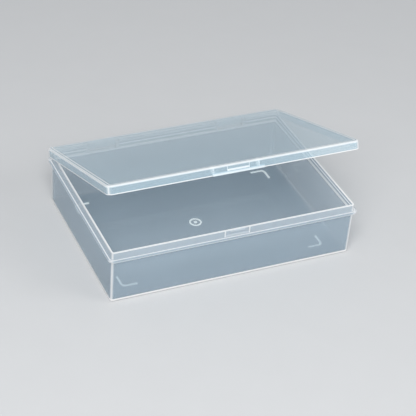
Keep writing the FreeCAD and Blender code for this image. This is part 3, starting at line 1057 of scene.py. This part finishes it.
class SPECIMENBOX_OT_thumb_lip(bpy.types.Operator):
    """Build the lip that a thumb lifts the lid by"""
    bl_idname = "specimen_box.thumb_lip"
    bl_label = "Thumb lip"

    def execute(self, context):
        fittings = context.scene.specimen_box.fittings
        low, high = closed_box("thumb_lip")
        root = high.y + fittings.sink
        bm = bmesh.new()
        add_prism(bm, [(root, low.z), (low.y, low.z), (low.y, high.z - fittings.lip_rise),
                       (high.y, high.z), (root, high.z)], low.x, high.x,
                  [LOOKS.lip_under, LOOKS.lip_front, LOOKS.lip_front, LOOKS.lip_back,
                   LOOKS.lip_back])
        ends = [e for e in bm.edges
                if all(abs(v.co.y - low.y) < SAME_PLACE for v in e.verts)
                and abs(e.verts[0].co.x - e.verts[1].co.x) < SAME_PLACE]
        bmesh.ops.bevel(bm, geom=ends, offset=fittings.lip_end_radius, segments=5, profile=0.5,
                        affect="EDGES")
        bevel_edges(bm, fittings.bevel)
        finish_piece("thumb_lip_bar", bm, "lid", ["thumb_lip"])
        return {"FINISHED"}


# ---------------------------------------------------------------- the stage

def floor_material(floor_colour):
    """Plain matt pale surface with a barely visible grain."""
    material = bpy.data.materials.new("pale_floor")
    material.use_nodes = True
    tree = material.node_tree
    shader = tree.nodes["Principled BSDF"]
    pale = tuple(floor_colour)
    darker = tuple(0.97 * c for c in pale[:3]) + (1.0,)
    grain = noise(tree, scale=40.0, detail=4.0)
    feed(tree, shader.inputs["Base Color"], blend(tree, "RGBA", grain, pale, darker))
    feed(tree, shader.inputs["Roughness"], 0.7)
    return material


def add_lamp(name, place, aim, power, size):
    data = bpy.data.lights.new(name, "AREA")
    data.shape = "SQUARE"
    data.size = size
    data.energy = power
    lamp = bpy.data.objects.new(name, data)
    lamp.location = place
    lamp.rotation_mode = "QUATERNION"
    lamp.rotation_quaternion = (Vector(aim) - Vector(place)).to_track_quat("-Z", "Y")
    bpy.context.scene.collection.objects.link(lamp)


class SPECIMENBOX_OT_stage(bpy.types.Operator):
    """Build the floor, the lamps and the camera"""
    bl_idname = "specimen_box.stage"
    bl_label = "Stage"

    def execute(self, context):
        scene = context.scene
        stage = scene.specimen_box.stage
        bm = bmesh.new()
        bmesh.ops.create_circle(bm, cap_ends=True, radius=8.0, segments=96)
        mesh = bpy.data.meshes.new("floor")
        bm.to_mesh(mesh)
        bm.free()
        mesh.materials.append(floor_material(stage.floor_colour))
        floor = bpy.data.objects.new("floor", mesh)
        scene.collection.objects.link(floor)

        world = bpy.data.worlds.new("studio")
        world.use_nodes = True
        background = world.node_tree.nodes["Background"]
        background.inputs["Color"].default_value = SKY
        background.inputs["Strength"].default_value = stage.daylight
        scene.world = world

        middle = (0, 0, 0.04)
        add_lamp("key_lamp", (-0.58, -1.0, 1.25), middle, stage.key_power, 0.9)
        add_lamp("fill_lamp", (1.1, -0.9, 0.8), middle, stage.fill_power, 0.8)
        add_lamp("glint_lamp", (0.93, -1.40, 0.195), middle, stage.glint_power, 0.10)

        scene.view_settings.view_transform = "Standard"
        scene.cycles.transparent_max_bounces = 32
        add_camera(scene, stage)
        return {"FINISHED"}


def add_camera(scene, stage):
    """Camera that looks along the direction of sight, rolled about it."""
    data = bpy.data.cameras.new("camera")
    data.angle = stage.camera_angle
    data.clip_start, data.clip_end = 0.05, 30.0
    camera = bpy.data.objects.new("camera", data)
    camera.matrix_world = (Matrix.Translation(stage.camera_place)
                           @ Matrix.Rotation(-stage.camera_turn, 4, "Z")
                           @ Matrix.Rotation(math.pi / 2 - stage.camera_height, 4, "X")
                           @ Matrix.Rotation(stage.camera_roll, 4, "Z"))
    scene.collection.objects.link(camera)
    scene.camera = camera


# ---------------------------------------------------------------- panel and registration

BUILDERS = (SPECIMENBOX_OT_tub, SPECIMENBOX_OT_catch, SPECIMENBOX_OT_gate_mark,
            SPECIMENBOX_OT_feet, SPECIMENBOX_OT_hinge_ears, SPECIMENBOX_OT_lid,
            SPECIMENBOX_OT_latch, SPECIMENBOX_OT_thumb_lip, SPECIMENBOX_OT_hinge_clips,
            SPECIMENBOX_OT_stage)


class SPECIMENBOX_PT_panel(bpy.types.Panel):
    """Sizes, colours and builders of the specimen box"""
    bl_label = "Specimen Box"
    bl_idname = "SPECIMENBOX_PT_panel"
    bl_space_type = "VIEW_3D"
    bl_region_type = "UI"
    bl_category = "Specimen Box"

    def draw(self, context):
        settings = context.scene.specimen_box
        for group in (settings.tub, settings.lid, settings.fittings, settings.look,
                      settings.stage):
            box = self.layout.box()
            for name in group.__annotations__:
                box.prop(group, name)
        for builder in BUILDERS:
            self.layout.operator(builder.bl_idname)


CLASSES = (TubSizes, LidSizes, FittingSizes, PlasticLook, StageLook, BoxSettings,
           *BUILDERS, SPECIMENBOX_PT_panel)


def register():
    for cls in CLASSES:
        bpy.utils.register_class(cls)
    bpy.types.Scene.specimen_box = PointerProperty(type=BoxSettings)


def unregister():
    del bpy.types.Scene.specimen_box
    for cls in reversed(CLASSES):
        bpy.utils.unregister_class(cls)


def main():
    register()
    for builder in BUILDERS:
        group, name = builder.bl_idname.split(".")
        getattr(getattr(bpy.ops, group), name)()


if __name__ == "__main__":
    main()
